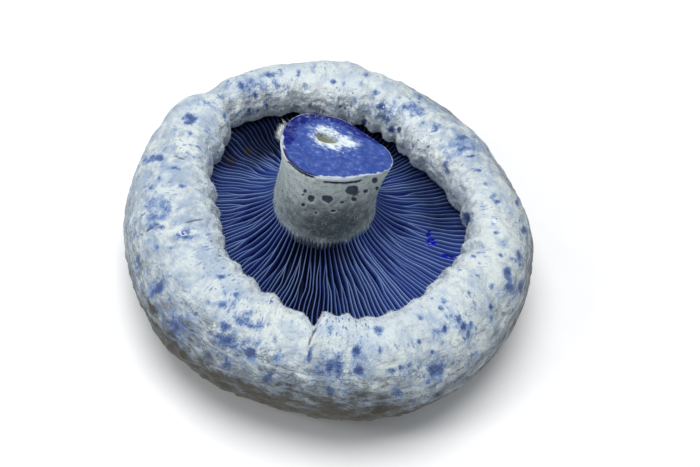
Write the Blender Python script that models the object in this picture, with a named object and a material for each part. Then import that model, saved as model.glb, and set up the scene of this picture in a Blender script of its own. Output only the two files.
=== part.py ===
"""A fresh indigo milk cap mushroom lying on its cap, gills and cut stem upwards.

Three solids that differ in colour and build: the pale cap with its fat inrolled
margin, the ring of indigo gills inside it, and the pale stem, cut slantwise.
Lengths below are millimetres, turned into metres when a mesh is made. The surface
that the cap lies on is z = 0. The Z axis runs through the middle of the whole
outline, which is a little to the right of the point that the cap grew round, and
places are given from that point. Angles start at +X, anticlockwise from above.
"""

import bpy
import numpy as np

MM = 0.001
GROWTH_POINT = (-0.75, 0.0, 0.0)

# Cap: outer radius and free edge radius, at equal steps of angle all round.
CAP_RADIUS = [42, 41, 40, 40, 40.5, 40.5, 40, 41, 40.5, 40.5, 41, 41, 40.5, 41.5, 42, 42]
EDGE_RADIUS = [27.4, 26.6, 24, 24.5, 26, 27.5, 28.5, 26, 23.6, 22, 22.7, 23.5, 25, 25, 25.3, 25.5]
CAP_COLUMNS = 144
WIDEST_Z = 12.5
CREST_Z = 24.0
EDGE_Z = 19.0
DIMPLE_Z = 1.6
DIMPLE_RADIUS = 6.0
FLAT_INNER_RADIUS = 10.0
FLAT_OUTER_RADIUS = 16.0
BED_Z = 8.8
ROLL_TURN = np.radians(205)
ROLL_WALL = 7.4

# Small lobes of the free edge, and the two places where the margin is split.
LOBE_COUNT = 35
LOBE_DEPTH = 0.55
CLEFT_ANGLE = np.radians(273)
CLEFT_WIDTH = np.radians(2.2)
CLEFT_DEPTH = 1.6
CLEFT_START = np.radians(105)
CLEFT_END = np.radians(160)
FOLD_ANGLE = np.radians(145.5)
FOLD_WIDTH = np.radians(3.2)
FOLD_DEPTH = 2.2
BULGE_ANGLE = np.radians(155)
BULGE_WIDTH = np.radians(7)
BULGE_HEIGHT = 0.9

# Stem: its foot and the middle of the slanting cut, with the pith's hollow in it.
STEM_FOOT = (-1.9, 3.6)
STEM_FOOT_RADIUS = 10.3
STEM_OUTLINE = [1.0, 0.985, 0.955, 0.97, 1.0, 1.01, 1.0, 1.01, 1.02, 1.0, 0.99, 1.0, 1.0, 1.0, 0.99, 1.0]
CUT_MIDDLE = (-1.2, 3.5)
CUT_RADIUS = 10.5
CUT_OUTLINE = [1.02, 1.01, 0.92, 0.89, 0.985, 1.04, 1.10, 1.065, 1.035, 1.055, 1.12, 1.095, 0.91, 0.825, 0.80, 0.90]
CUT_Z = 34.54
CUT_SLOPE = (-0.12, -0.37)
STEM_COLUMNS = 48
FREE_STEM_Z = 18.6
PITH_MIDDLE = (-3.8, 6.2)
PITH_RADII = (2.3, 1.7)
PITH_DEPTH = 4.0

# Gills: long ones from the stem to the margin, with a short one between each two.
LONG_GILLS = 48
COLUMNS_PER_PAIR = 6
GILL_WAVER = np.radians(1.6)
GILL_LOW_Z = 14.2
SHORT_GILL_START = 16.0
SHORT_GILL_FULL = 22.0

GAP = 0.35


def around(values, theta):
    """Smooth closed curve through values spaced equally round a full turn."""
    v = np.asarray(values, float)
    n = len(v)
    u = (np.asarray(theta) % (2 * np.pi)) / (2 * np.pi) * n
    i = np.floor(u).astype(int) % n
    f = u - np.floor(u)
    p0, p1, p2, p3 = v[(i - 1) % n], v[i], v[(i + 1) % n], v[(i + 2) % n]
    cubic = (3 * p1 - p0 - 3 * p2 + p3) * f**3
    square = (2 * p0 - 5 * p1 + 4 * p2 - p3) * f**2
    return 0.5 * (2 * p1 + (p2 - p0) * f + square + cubic)


def hump(theta, middle, width):
    """Bell curve of angle, 1 at its middle, periodic."""
    away = (theta - middle + np.pi) % (2 * np.pi) - np.pi
    return np.exp(-((away / width) ** 2))


def angles(count):
    return np.arange(count) * (2 * np.pi / count)


def grid_faces(rows, columns, closed_rows=False):
    """Quads of a grid whose columns run round a ring, and its rows too if closed."""
    faces = []
    for i in range(rows if closed_rows else rows - 1):
        a = i * columns
        b = (i + 1) % rows * columns
        for j in range(columns):
            k = (j + 1) % columns
            faces.append((a + j, a + k, b + k, b + j))
    return faces


def fan_faces(pole, first, columns, upwards):
    """Triangles that join one ring of a grid to the pole that closes it."""
    faces = []
    for j in range(columns):
        k = (j + 1) % columns
        faces.append((pole, first + k, first + j) if upwards else (pole, first + j, first + k))
    return faces


def add_object(name, points, faces, material):
    """One named object in metres, smooth except at sharp turns."""
    mesh = bpy.data.meshes.new(name)
    mesh.from_pydata(((np.asarray(points) + GROWTH_POINT) * MM).tolist(), [], faces)
    mesh.materials.append(material)
    mesh.shade_smooth()
    mesh.set_sharp_from_angle(angle=np.radians(50))
    mesh.validate()
    thing = bpy.data.objects.new(name, mesh)
    bpy.context.scene.collection.objects.link(thing)
    return thing


def finish(name, colour, roughness):
    """Plain Principled material of one colour."""
    material = bpy.data.materials.new(name)
    material.use_nodes = True
    shader = material.node_tree.nodes["Principled BSDF"]
    shader.inputs["Base Color"].default_value = (*colour, 1.0)
    shader.inputs["Roughness"].default_value = roughness
    shader.inputs["Metallic"].default_value = 0.0
    return material


def between_poles(name, r, z, low, high, middle, material):
    """Closed solid from rings (rows by columns) and a pole at each end."""
    rows, columns = r.shape
    theta = angles(columns)
    x = middle[..., 0] + r * np.cos(theta)
    y = middle[..., 1] + r * np.sin(theta)
    rings = np.stack([x, y, z], -1).reshape(-1, 3)
    points = np.concatenate([rings, [low], [high]])
    count = rows * columns
    faces = grid_faces(rows, columns)
    faces += fan_faces(count, 0, columns, upwards=True)
    faces += fan_faces(count + 1, (rows - 1) * columns, columns, upwards=False)
    return add_object(name, points, faces, material)


def edge_radius(theta):
    """Free edge of the margin: broad outline, small uneven lobes and the cleft."""
    beat = LOBE_COUNT * theta + 1.3 * np.sin(5 * theta) + 0.9 * np.sin(3 * theta + 1)
    lobes = LOBE_DEPTH * np.sin(beat) * (1 + 0.4 * np.sin(4 * theta + 2))
    cleft = CLEFT_DEPTH * hump(theta, CLEFT_ANGLE, CLEFT_WIDTH)
    fold = 0.6 * FOLD_DEPTH * hump(theta, FOLD_ANGLE, FOLD_WIDTH)
    return around(EDGE_RADIUS, theta) + lobes + cleft + fold


def cap_radius(theta):
    """Widest outline of the cap, pinched where the margin folds over itself."""
    fold = 0.5 * FOLD_DEPTH * hump(theta, FOLD_ANGLE, FOLD_WIDTH)
    return around(CAP_RADIUS, theta) - fold


def margin_dents(theta, turn):
    """How far the roll stands in or out along its own radius: soft unevenness, the
    deep fold, the bulge beside it and the crack above the cleft."""
    on_top = np.sin(np.clip(turn, 0, np.pi))
    uneven = 0.35 * np.sin(7 * theta + 2.0 * turn) + 0.25 * np.sin(13 * theta - 3.0 * turn + 1)
    fold = FOLD_DEPTH * hump(theta, FOLD_ANGLE, FOLD_WIDTH)
    bulge = BULGE_HEIGHT * hump(theta, BULGE_ANGLE, BULGE_WIDTH)
    near_edge = np.clip((turn - CLEFT_START) / (CLEFT_END - CLEFT_START), 0, 1)
    crack = 0.7 * CLEFT_DEPTH * hump(theta, CLEFT_ANGLE, CLEFT_WIDTH) * near_edge
    return on_top * (uneven - fold + bulge) - crack


def cap_rings():
    """Rings of the cap's skin, from the dimple under it, out over the flat it lies
    on, up round the fat inrolled margin, under its free edge and in along the bed."""
    theta = angles(CAP_COLUMNS)
    outer = cap_radius(theta)
    edge = edge_radius(theta)
    still = 0 * theta
    rings = [(DIMPLE_RADIUS + still, 0.6 * DIMPLE_Z + still)]
    rings.append((FLAT_INNER_RADIUS + still, still))
    rings.append((FLAT_OUTER_RADIUS + still, still))
    for t in np.radians([25, 45, 62, 77]):
        r = FLAT_OUTER_RADIUS + (outer - FLAT_OUTER_RADIUS) * np.sin(t)
        rings.append((r, WIDEST_Z * (1 - np.cos(t)) + still))
    half_width = (outer - edge) / 2
    rise = CREST_Z - (WIDEST_Z + EDGE_Z) / 2
    for turn in np.linspace(0, ROLL_TURN, 12):
        dent = margin_dents(theta, turn)
        lift = (EDGE_Z - WIDEST_Z) * (1 - np.cos(min(turn, np.pi))) / 2
        r = (outer + edge) / 2 + (half_width + dent) * np.cos(turn)
        rings.append((r, WIDEST_Z + lift + (rise + dent) * np.sin(turn)))
    wall = outer - ROLL_WALL
    rings.append((edge + 2.6, EDGE_Z - 3.1 + still))
    rings.append((wall - 2.0, EDGE_Z - 3.2 + still))
    rings.append((wall + still, EDGE_Z - 5.5 + still))
    rings.append((wall - 0.9, BED_Z + 1.2 + still))
    rings.append((wall - 3.4, BED_Z + still))
    rings.append((0.5 * (wall - 3.4), BED_Z + still))
    return np.array(rings)


def make_cap():
    rings = cap_rings()
    material = finish("pale blue-white skin", (0.60, 0.69, 0.75), 0.6)
    low = (0, 0, DIMPLE_Z)
    high = (0, 0, BED_Z)
    return between_poles("cap", rings[:, 0], rings[:, 1], low, high, np.zeros(2), material)


def stem_foot_radius(theta):
    return STEM_FOOT_RADIUS * around(STEM_OUTLINE, theta)


def gill_edge_z(r):
    """Height of the gills' free edges: they run up the stem and up under the roll."""
    up_stem = 4.0 * np.exp(-((r - STEM_FOOT_RADIUS) / 3.2))
    up_roll = 3.5 * np.clip((r - 22) / 10, 0, 2) ** 2
    return GILL_LOW_Z + up_stem + np.minimum(up_roll, EDGE_Z - 3.7 - GILL_LOW_Z)


def gill_ring():
    """Gills as ridges: rows run out from the stem to the margin and back along the
    bed, and three columns make one ridge, two on its edge and one in the valley."""
    count = LONG_GILLS * COLUMNS_PER_PAIR
    step = np.arange(count) % COLUMNS_PER_PAIR
    pair = np.arange(count) // COLUMNS_PER_PAIR
    place = np.array([0.07, 0.23, 0.40, 0.60, 0.74, 0.90])[step]
    crest = np.array([1, 1, 0, 1, 1, 0])[step]
    short = np.array([0, 0, 0, 1, 1, 0])[step]
    theta = (pair + place) * (2 * np.pi / LONG_GILLS)
    foot = stem_foot_radius(theta) + GAP
    wall = cap_radius(theta) - ROLL_WALL
    inner = np.stack([STEM_FOOT[0] + foot * np.cos(theta), STEM_FOOT[1] + foot * np.sin(theta)])
    outer = np.stack([np.cos(theta), np.sin(theta)]) * (wall - 4 * GAP)
    aside = np.stack([-np.sin(theta), np.cos(theta)])
    rows = []
    for out in [0, 0.06, 0.15, 0.28, 0.45, 0.62, 0.8, 0.93]:
        waver = GILL_WAVER * np.sin(np.pi * out) * np.sin(3 * theta + 9 * out + 0.7 * pair)
        flat = inner + (outer - inner) * out
        r = STEM_FOOT_RADIUS + GAP + (np.hypot(*outer) - STEM_FOOT_RADIUS) * out
        flat = flat + aside * waver * r
        edge = gill_edge_z(r)
        reach = np.clip((r - SHORT_GILL_START) / (SHORT_GILL_FULL - SHORT_GILL_START), 0, 1)
        valley = edge - 1.6 - 2.6 * np.sin(np.pi * min(out + 0.15, 1.0))
        height = np.where(short == 1, valley + reach * (edge - 0.4 - valley), edge)
        rows.append((*flat, np.where(crest == 1, height, valley)))
    rows.append((*outer, BED_Z + 2.4 + 1.8 * crest))
    rows.append((*(outer * (1 - 2.4 / np.hypot(*outer))), BED_Z + GAP + 0 * theta))
    rows.append((*inner, BED_Z + GAP + 0 * theta))
    return np.array(rows)


def make_gills():
    rows = gill_ring()
    points = rows.transpose(0, 2, 1).reshape(-1, 3)
    faces = [face[::-1] for face in grid_faces(rows.shape[0], rows.shape[2], closed_rows=True)]
    material = finish("indigo gill", (0.045, 0.085, 0.29), 0.45)
    return add_object("gills", points, faces, material)


def cut_z(x, y):
    """Height of the slanting knife cut."""
    return CUT_Z + CUT_SLOPE[0] * (x - CUT_MIDDLE[0]) + CUT_SLOPE[1] * (y - CUT_MIDDLE[1])


def make_stem():
    """Stem from its foot to the cut, with the pith's shallow hollow in the cut face."""
    theta = angles(STEM_COLUMNS)
    turn = np.stack([np.cos(theta), np.sin(theta)])
    foot = np.array(STEM_FOOT)[:, None] + stem_foot_radius(theta) * turn
    rim = np.array(CUT_MIDDLE)[:, None] + CUT_RADIUS * around(CUT_OUTLINE, theta) * turn
    pith = np.array(PITH_MIDDLE)[:, None] + np.array(PITH_RADII)[:, None] * turn
    still = 0 * theta
    middle = np.array(STEM_FOOT)[:, None]
    rows = [(*(middle + 0.5 * (foot - middle)), BED_Z + GAP + still)]
    rows.append((*foot, BED_Z + GAP + still))
    rows.append((*foot, FREE_STEM_Z + still))
    rim_z = cut_z(*rim)
    for up in [0.25, 0.5, 0.75, 0.94]:
        waist = 1 - 0.02 * np.sin(np.pi * up)
        ring = (foot + (rim - foot) * up - middle) * waist + middle
        rows.append((*ring, FREE_STEM_Z + (rim_z - FREE_STEM_Z) * up))
    rows.append((*(rim + (pith - rim) * 0.03), rim_z))
    for inwards in [0.4, 0.75]:
        ring = rim + (pith - rim) * inwards
        rows.append((*ring, cut_z(*ring)))
    rows.append((*pith, cut_z(*pith)))
    floor = np.array(PITH_MIDDLE)[:, None] + 0.75 * (pith - np.array(PITH_MIDDLE)[:, None])
    rows.append((*floor, cut_z(*floor) - PITH_DEPTH))
    rows = np.array(rows)
    count = rows.shape[0] * STEM_COLUMNS
    points = rows.transpose(0, 2, 1).reshape(-1, 3)
    low = (*STEM_FOOT, BED_Z + GAP)
    high = (*PITH_MIDDLE, cut_z(*PITH_MIDDLE) - PITH_DEPTH)
    points = np.concatenate([points, [low], [high]])
    faces = grid_faces(rows.shape[0], STEM_COLUMNS)
    faces += fan_faces(count, 0, STEM_COLUMNS, upwards=True)
    faces += fan_faces(count + 1, (rows.shape[0] - 1) * STEM_COLUMNS, STEM_COLUMNS, upwards=False)
    material = finish("grey stem", (0.30, 0.35, 0.36), 0.7)
    return add_object("stem", points, faces, material)


def main():
    for thing in list(bpy.data.objects):
        bpy.data.objects.remove(thing, do_unlink=True)
    make_cap()
    make_gills()
    make_stem()


main()
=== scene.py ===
"""Looks of a fresh indigo milk cap laid on its cap: felted pale blue skin with wet
slate pits, indigo gills, and a downy stem cut slantwise over deep blue flesh.

Shapes are worked out in millimetres from the point that the cap grew round, and a
mesh is made in metres. Angles start at +X and run anticlockwise seen from above.
"""

import bpy
import numpy as np
from mathutils import Matrix, Vector


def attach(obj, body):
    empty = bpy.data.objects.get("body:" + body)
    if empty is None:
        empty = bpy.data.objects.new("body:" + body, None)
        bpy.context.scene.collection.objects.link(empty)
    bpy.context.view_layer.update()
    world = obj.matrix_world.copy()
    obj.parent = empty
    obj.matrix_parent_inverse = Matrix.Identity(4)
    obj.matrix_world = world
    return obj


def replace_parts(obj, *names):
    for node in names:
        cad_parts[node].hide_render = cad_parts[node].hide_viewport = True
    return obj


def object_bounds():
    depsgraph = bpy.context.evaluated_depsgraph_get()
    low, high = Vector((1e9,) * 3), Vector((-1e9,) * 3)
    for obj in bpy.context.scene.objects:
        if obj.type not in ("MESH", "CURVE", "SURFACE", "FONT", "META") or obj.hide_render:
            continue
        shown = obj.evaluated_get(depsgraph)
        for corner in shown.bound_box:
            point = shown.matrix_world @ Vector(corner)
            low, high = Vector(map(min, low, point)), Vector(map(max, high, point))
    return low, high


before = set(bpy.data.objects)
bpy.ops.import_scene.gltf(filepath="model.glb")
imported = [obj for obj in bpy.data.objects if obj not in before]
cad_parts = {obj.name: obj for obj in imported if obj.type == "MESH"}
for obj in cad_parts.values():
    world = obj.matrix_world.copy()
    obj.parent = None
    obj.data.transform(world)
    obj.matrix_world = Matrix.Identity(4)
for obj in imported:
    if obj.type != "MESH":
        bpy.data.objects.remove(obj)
cad_low, cad_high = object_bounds()

MM = 0.001
GROWTH_POINT = np.array([-0.75, 0.0, 0.0])

# Forms shared with the solids.
CAP_RADIUS = [42, 41, 40, 40, 40.5, 40.5, 40, 41, 40.5, 40.5, 41, 41, 40.5, 41.5, 42, 42]
EDGE_RADIUS = [27.4, 26.6, 24, 24.5, 26, 27.5, 28.5, 26, 23.6, 22, 22.7, 23.5, 25, 25, 25.3, 25.5]
WIDEST_Z = 12.5
CREST_Z = 24.0
EDGE_Z = 19.0
DIMPLE_Z = 1.6
FLAT_INNER_RADIUS = 10.0
FLAT_OUTER_RADIUS = 16.0
BED_Z = 8.8
ROLL_TURN = np.radians(205)
ROLL_WALL = 7.4
LOBE_COUNT = 35
LOBE_DEPTH = 0.55
CLEFT_ANGLE = np.radians(273)
CLEFT_WIDTH = np.radians(2.2)
CLEFT_DEPTH = 1.6
CLEFT_START = np.radians(105)
CLEFT_END = np.radians(160)
FOLD_ANGLE = np.radians(145.5)
FOLD_WIDTH = np.radians(3.2)
FOLD_DEPTH = 2.2
BULGE_ANGLE = np.radians(155)
BULGE_WIDTH = np.radians(7)
BULGE_HEIGHT = 0.9
STEM_FOOT = np.array([-1.9, 3.6])
STEM_FOOT_RADIUS = 10.3
STEM_OUTLINE = [1.0, 0.985, 0.955, 0.97, 1.0, 1.01, 1.0, 1.01, 1.02, 1.0, 0.99, 1.0, 1.0, 1.0, 0.99, 1.0]
CUT_MIDDLE = np.array([-1.2, 3.5])
CUT_RADIUS = 10.5
CUT_OUTLINE = [
    1.02, 1.01, 0.92, 0.89, 0.985, 1.04, 1.10, 1.065, 1.035, 1.055, 1.12, 1.095, 0.91, 0.825, 0.80, 0.90,
]
CUT_Z = 34.54
CUT_SLOPE = (-0.12, -0.37)
FREE_STEM_Z = 18.6
PITH_MIDDLE = np.array([-3.8, 6.2])
PITH_RADII = np.array([2.3, 1.7])
PITH_DEPTH = 4.0
GILL_LOW_Z = 14.2
GAP = 0.35

# How far the fold leans over the crest of the roll.
FOLD_LEAN = np.radians(3.5)

# The stem's left side stands further in than the solid's: degrees, degrees and millimetres.
HOLLOW_ANGLE = 190
HOLLOW_WIDTH = 32
HOLLOW_DEPTH = 0.6

# The photograph's camera, and its frame in pixels.
FRAME_WIDTH = 700
FRAME_HEIGHT = 467
SENSOR = 36.0
FOCUS_PIXELS = 1350.0
ELEVATION = np.radians(55)
ROLL = np.radians(12.4)
DISTANCE = 270.0
AIM = np.array([0.0, 0.0, 14.0])
AIM_PIXEL = (327.5, 226.5)

# Small bays and tongues of the free edge: angle and half width in degrees, millimetres outwards.
EDGE_SHIFTS = [
    (26, 8, -0.9), (53, 8, -0.7), (99, 9, -1.1), (123, 8, -0.6), (141, 4, 0.8), (172, 6, 1.1),
    (223, 7, 0.9), (265, 3.5, 1.3), (279, 5, -0.8), (297, 8, 0.5),
]

# Fineness of the grids.
CAP_COLUMNS = 640
STEM_COLUMNS = 400
GILL_ROWS = 72

# Cells along each side of the noise's lattice, after which it repeats.
LATTICE = 24

# Gills: how many, how far out, half the thickness of an edge, and where the short ones fork off.
GILLS = 164
GILL_END_RADIUS = 32.6
GILL_HALF_EDGE = 0.104
FIRST_FORK = 11.0
LAST_FORK = 18.0
FORK_LENGTH = 4.5

# Loose fibres of down.
STEM_FIBRES = 5000
RIM_FIBRES = 260
MARGIN_FIBRES = 9000

# Wounds of the gills that bleed latex: pixel, reach across and down in pixels. Then tan bruises.
GILL_WOUNDS = [(431, 241, 11, 10), (450, 255, 16, 5), (429, 233, 6, 5)]
GILL_BRUISES = [(229, 160, 16, 11), (248, 151, 13, 8)]

# Slate stains of the cap: pixel of the photograph, width and height in pixels, depth of colour.
STAINS = [
    (191, 119, 11, 12, 0.95), (160, 158, 12, 7, 0.9), (172, 167, 15, 5, 0.6), (181, 186, 7, 3, 0.8),
    (183, 234, 16, 11, 0.85), (161, 227, 8, 7, 0.9), (151, 227, 4, 4, 0.8), (164, 209, 26, 15, 0.6),
    (149, 187, 12, 6, 0.5), (159, 178, 5, 5, 0.45), (175, 127, 5, 7, 0.5), (190, 133, 4, 3, 0.6),
    (208, 126, 4, 7, 0.55), (226, 116, 3, 8, 0.5), (205, 103, 12, 5, 0.5), (197, 108, 5, 4, 0.5),
    (240, 86, 11, 8, 0.85), (253, 85, 24, 12, 0.5), (268, 74, 15, 6, 0.75), (256, 97, 3, 8, 0.75),
    (266, 105, 4, 7, 0.8), (249, 112, 5, 8, 0.95), (258, 111, 3, 5, 0.65), (275, 107, 4, 5, 0.6),
    (283, 75, 5, 5, 0.4), (298, 75, 4, 8, 0.55), (292, 78, 3, 4, 0.5), (313, 69, 5, 7, 0.4),
    (310, 107, 3, 8, 0.7), (144, 158, 5, 8, 0.5), (135, 233, 4, 10, 0.5), (138, 267, 5, 14, 0.8),
    (158, 288, 14, 17, 0.95), (170, 298, 5, 8, 0.55), (181, 304, 3, 7, 0.55), (157, 247, 5, 8, 0.75),
    (171, 248, 7, 4, 0.65), (177, 328, 22, 23, 0.9), (155, 310, 5, 8, 0.5), (222, 277, 8, 4, 0.8),
    (225, 293, 5, 7, 0.65), (236, 295, 6, 5, 0.85), (208, 302, 8, 8, 0.75), (221, 304, 7, 5, 0.55),
    (234, 302, 5, 5, 0.45), (239, 318, 15, 13, 0.7), (245, 313, 5, 7, 0.85), (224, 327, 7, 7, 0.8),
    (210, 332, 5, 4, 0.9), (216, 326, 3, 3, 0.7), (223, 340, 15, 11, 0.9), (236, 332, 5, 5, 0.65),
    (250, 353, 15, 14, 1.0), (243, 344, 9, 6, 0.65), (226, 365, 13, 7, 0.75), (207, 356, 7, 13, 0.7),
    (199, 348, 8, 4, 0.65), (226, 359, 5, 6, 0.7), (268, 379, 14, 11, 0.8), (280, 350, 3, 6, 0.65),
    (277, 358, 8, 10, 0.65), (275, 340, 4, 7, 0.4), (282, 330, 6, 8, 0.3), (261, 324, 4, 12, 0.35),
    (310, 354, 7, 17, 0.8), (287, 385, 5, 3, 0.7), (307, 370, 5, 5, 0.5), (317, 367, 4, 5, 0.6),
    (331, 330, 6, 9, 0.5), (357, 352, 12, 14, 0.95), (358, 370, 10, 14, 0.95), (329, 368, 8, 17, 0.9),
    (339, 368, 8, 17, 0.95), (330, 390, 12, 11, 0.85), (346, 393, 11, 4, 0.5), (379, 331, 10, 8, 0.7),
    (421, 318, 7, 6, 0.75), (445, 329, 8, 11, 0.95), (441, 308, 6, 4, 0.9), (445, 301, 5, 3, 0.85),
    (459, 319, 4, 8, 0.95), (464, 326, 5, 10, 0.9), (468, 333, 4, 8, 0.85), (471, 326, 5, 7, 0.5),
    (464, 339, 4, 3, 0.75), (419, 343, 6, 6, 0.6), (432, 352, 3, 4, 0.85), (435, 371, 17, 19, 0.95),
    (428, 382, 6, 4, 0.75), (393, 372, 9, 11, 0.75), (400, 368, 4, 5, 0.7), (410, 366, 5, 4, 0.65),
    (398, 392, 12, 9, 0.85), (380, 351, 3, 9, 0.55), (397, 348, 3, 6, 0.55), (408, 347, 2, 7, 0.55),
    (507, 274, 6, 9, 0.8), (508, 288, 9, 12, 0.9), (521, 288, 5, 15, 0.8), (519, 256, 7, 8, 0.8),
    (520, 265, 3, 4, 0.7), (490, 307, 6, 8, 0.8), (491, 318, 4, 5, 0.75), (491, 287, 4, 6, 0.65),
    (469, 294, 4, 4, 0.5), (479, 275, 5, 3, 0.7), (501, 255, 5, 4, 0.55), (504, 242, 4, 4, 0.45),
    (475, 354, 6, 8, 0.6), (334, 82, 5, 6, 0.8), (363, 84, 4, 7, 0.55), (376, 93, 8, 5, 0.6),
    (366, 74, 7, 5, 0.55), (405, 107, 24, 9, 0.75), (382, 107, 11, 7, 0.85), (412, 116, 8, 6, 0.55),
    (388, 120, 4, 6, 0.8), (364, 122, 6, 6, 0.95), (392, 129, 4, 6, 0.9), (400, 130, 4, 6, 0.9),
    (437, 128, 6, 7, 0.8), (460, 149, 12, 6, 0.9), (462, 138, 16, 7, 0.6), (471, 156, 9, 3, 0.8),
    (479, 170, 6, 4, 0.9), (485, 184, 5, 4, 0.75), (447, 171, 4, 6, 0.65), (445, 162, 4, 8, 0.55),
    (468, 219, 9, 12, 0.95), (494, 222, 6, 6, 0.65), (497, 202, 6, 4, 0.75), (492, 197, 5, 3, 0.55),
    (517, 202, 4, 8, 0.75), (524, 231, 4, 7, 0.85), (420, 97, 8, 4, 0.65), (497, 232, 6, 3, 0.5),
    (423, 123, 5, 5, 0.5), (145, 240, 5, 5, 0.4), (308, 407, 9, 4, 0.6), (393, 404, 10, 4, 0.5),
]

# Soft blue washes round the crowded stains: pixel, width and height in pixels, depth of colour.
WASHES = [
    (402, 108, 62, 20, 0.42), (462, 146, 40, 16, 0.40), (160, 214, 38, 26, 0.42), (254, 88, 46, 18, 0.36),
    (240, 318, 20, 16, 0.22), (446, 330, 22, 26, 0.38), (434, 371, 32, 30, 0.42), (338, 368, 38, 36, 0.34),
    (250, 353, 32, 26, 0.40), (177, 328, 38, 36, 0.42), (186, 234, 22, 16, 0.36), (508, 288, 12, 22, 0.16),
    (158, 288, 24, 26, 0.36), (358, 360, 22, 34, 0.36), (246, 112, 16, 14, 0.34), (200, 104, 24, 12, 0.34),
]

# Pits that hold clear latex, so they shine: pixel and width in pixels.
WET_PITS = [(161, 227, 9), (183, 233, 12), (240, 317, 15), (376, 93, 8), (385, 109, 16), (494, 221, 7)]

# Thin cracks of the skin: two end pixels.
CRACKS = [((172, 155), (186, 159)), ((184, 222), (207, 218)), ((158, 223), (146, 231))]

CLEFT_CRACK = [((316, 326), (311, 337)), ((312, 334), (309, 345))]

# Slate pits of the stem: pixel, width and height in pixels, depth of colour.
STEM_PITS = [
    (353, 191, 13, 9, 1.0), (311, 199, 8, 7, 1.0), (327, 199, 10, 6, 1.0), (375, 181, 7, 9, 0.9),
    (366, 192, 5, 4, 0.8), (354, 200, 5, 3, 0.8), (342, 203, 6, 3, 0.8), (305, 191, 4, 4, 0.7),
    (303, 195, 4, 3, 0.6), (303, 205, 5, 4, 0.8), (316, 213, 5, 3, 0.6), (333, 211, 6, 3, 0.7),
    (379, 190, 4, 4, 0.9), (291, 186, 3, 4, 0.4), (281, 191, 2, 3, 0.5), (357, 218, 3, 2, 0.5),
]

# Beads of latex that stand on the cut face: pixel and width in pixels.
CUT_BEADS = [(290, 125, 5), (299, 120, 3), (309, 117, 4), (316, 117, 3), (323, 118, 4), (346, 122, 3)]


def around(values, theta):
    """Smooth closed curve through values spaced equally round a full turn."""
    v = np.asarray(values, float)
    n = len(v)
    u = (np.asarray(theta) % (2 * np.pi)) / (2 * np.pi) * n
    i = np.floor(u).astype(int) % n
    f = u - np.floor(u)
    p0, p1, p2, p3 = v[(i - 1) % n], v[i], v[(i + 1) % n], v[(i + 2) % n]
    cubic = (3 * p1 - p0 - 3 * p2 + p3) * f**3
    square = (2 * p0 - 5 * p1 + 4 * p2 - p3) * f**2
    return 0.5 * (2 * p1 + (p2 - p0) * f + square + cubic)


def hump(theta, middle, width):
    """Bell curve of angle, 1 at its middle, periodic."""
    away = (theta - middle + np.pi) % (2 * np.pi) - np.pi
    return np.exp(-((away / width) ** 2))


def bell(theta, middle, width):
    """The same with its middle and width in degrees."""
    return hump(theta, np.radians(middle), np.radians(width))


def ease(x, low, high):
    """Smooth step from 0 at low to 1 at high. low may be the larger."""
    t = np.clip((x - low) / (high - low), 0, 1)
    return t * t * (3 - 2 * t)


def window(theta, first, last, soft=6.0):
    """1 between two angles in degrees and 0 outside them, soft at both ends."""
    degrees = np.degrees(theta)
    half = soft / 2
    return ease(degrees, first - half, first + half) * ease(degrees, last + half, last - half)


def angles(count):
    return np.arange(count) * (2 * np.pi / count)


def cloud(points, size, seed):
    """Value noise from -1 to 1: random numbers on a cubic lattice of that size in
    millimetres, blended smoothly inside each cube."""
    lattice = np.random.default_rng(seed).random((LATTICE,) * 3) * 2 - 1
    p = points / size + 7.3
    i = np.floor(p).astype(int)
    f = p - i
    f = f * f * (3 - 2 * f)
    total = 0
    for corner in np.ndindex(2, 2, 2):
        near = np.prod(np.where(np.array(corner) == 1, f, 1 - f), axis=-1)
        k = (i + corner) % LATTICE
        total = total + near * lattice[k[..., 0], k[..., 1], k[..., 2]]
    return total


def clouds(points, size, seed, octaves=3):
    """Sum of noises, each half the size and half the strength of the last."""
    return sum(cloud(points, size / 2**k, seed + k) * 0.5**k for k in range(octaves))


def camera_axes():
    """Unit vectors of the rolled camera: right, up and back towards it."""
    back = np.array([0, -np.cos(ELEVATION), np.sin(ELEVATION)])
    right = np.array([1.0, 0, 0])
    up = np.cross(back, right)
    turned_right = right * np.cos(ROLL) + up * np.sin(ROLL)
    turned_up = up * np.cos(ROLL) - right * np.sin(ROLL)
    return turned_right, turned_up, back


def pixels(points):
    """Pixel of the photograph at which each point shows, and its depth."""
    right, up, back = camera_axes()
    away = points - AIM
    depth = DISTANCE - away @ back
    x = AIM_PIXEL[0] + FOCUS_PIXELS * (away @ right) / depth
    y = AIM_PIXEL[1] - FOCUS_PIXELS * (away @ up) / depth
    return x, y, depth


def normals(grid):
    """Outward unit normals of a grid of points whose columns run round a ring."""
    along = np.gradient(grid, axis=0)
    across = (np.roll(grid, -1, axis=1) - np.roll(grid, 1, axis=1)) / 2
    n = np.cross(across, along)
    return n / np.maximum(np.linalg.norm(n, axis=-1, keepdims=True), 1e-9)


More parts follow.
